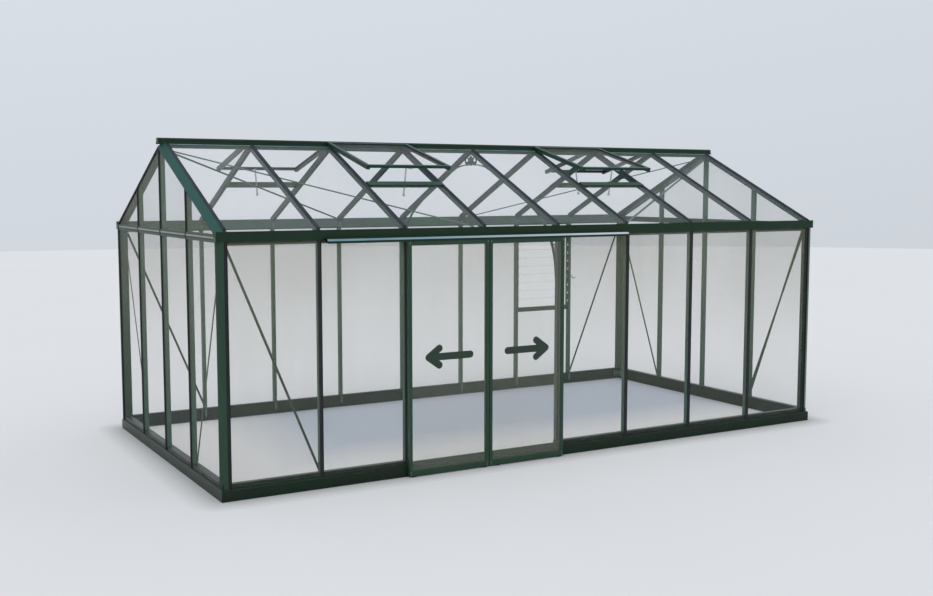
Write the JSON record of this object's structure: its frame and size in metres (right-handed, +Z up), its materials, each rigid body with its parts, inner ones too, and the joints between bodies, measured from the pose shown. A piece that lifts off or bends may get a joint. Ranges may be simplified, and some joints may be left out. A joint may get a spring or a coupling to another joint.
{
  "type": "glass greenhouse",
  "caption": "Free-standing glass greenhouse with a painted aluminium frame, sliding doors, open roof vents, a louvre window, a decorated middle frame and rain gutters.",
  "frame": {"origin": "middle of the footprint, with the door track and doors counted, at ground level", "axes": "+X along the ridge to the right as seen from the doors, +Y from the door wall to the rear wall, +Z up"},
  "size_m": [6.07, 3.113, 2.742],
  "materials": {
    "green_frame": "semi-gloss dark green powder coat",
    "glazing_strip": "satin black glazing strip",
    "glass": "clear float glass with a faint haze",
    "bright_aluminium": "mill-finish aluminium"
  },
  "bodies": {
    "house": {"base_front_left": "green_frame", "base_front_right": "green_frame", "base_rear": "green_frame", "base_left": "green_frame", "base_right": "green_frame", "door_threshold": "green_frame", "corner_posts": "green_frame", "front_mullions": "green_frame", "rear_mullions": "green_frame", "gable_mullions": "green_frame", "gable_transoms": "green_frame", "front_gutter": "green_frame", "rear_gutter": "green_frame", "ridge_beam": "green_frame", "ridge_cap": "green_frame", "front_rafters": "green_frame", "rear_rafters": "green_frame", "ridge_arch": "green_frame", "knee_braces": "green_frame", "wall_braces": "green_frame", "gable_braces": "green_frame", "roof_braces": "green_frame", "front_vent_frames": "green_frame", "rear_vent_frames": "green_frame", "vent_glass": "glass", "vent_rails": "green_frame", "vent_stays": "bright_aluminium", "front_wall_glass": "glass", "rear_wall_glass": "glass", "left_gable_glass": "glass", "right_gable_glass": "glass", "front_roof_glass": "glass", "rear_roof_glass": "glass", "wall_strips": "glazing_strip", "gable_strips": "glazing_strip", "roof_strips": "glazing_strip", "louvre_frame": "green_frame", "louvre_blades": "glass", "louvre_handle": "bright_aluminium", "door_track": "green_frame"},
    "door_left": {"door_left_frame": "green_frame", "door_left_glass": "glass", "door_left_hangers": "bright_aluminium"},
    "door_right": {"door_right_frame": "green_frame", "door_right_glass": "glass", "door_right_hangers": "bright_aluminium"}
  },
  "joints": [
    {"name": "door_left_slide", "type": "slide", "parent": "house", "child": "door_left", "axis": [-1, 0, 0], "range_m": [0, 0.7]},
    {"name": "door_right_slide", "type": "slide", "parent": "house", "child": "door_right", "axis": [1, 0, 0], "range_m": [0, 0.7]}
  ]
}
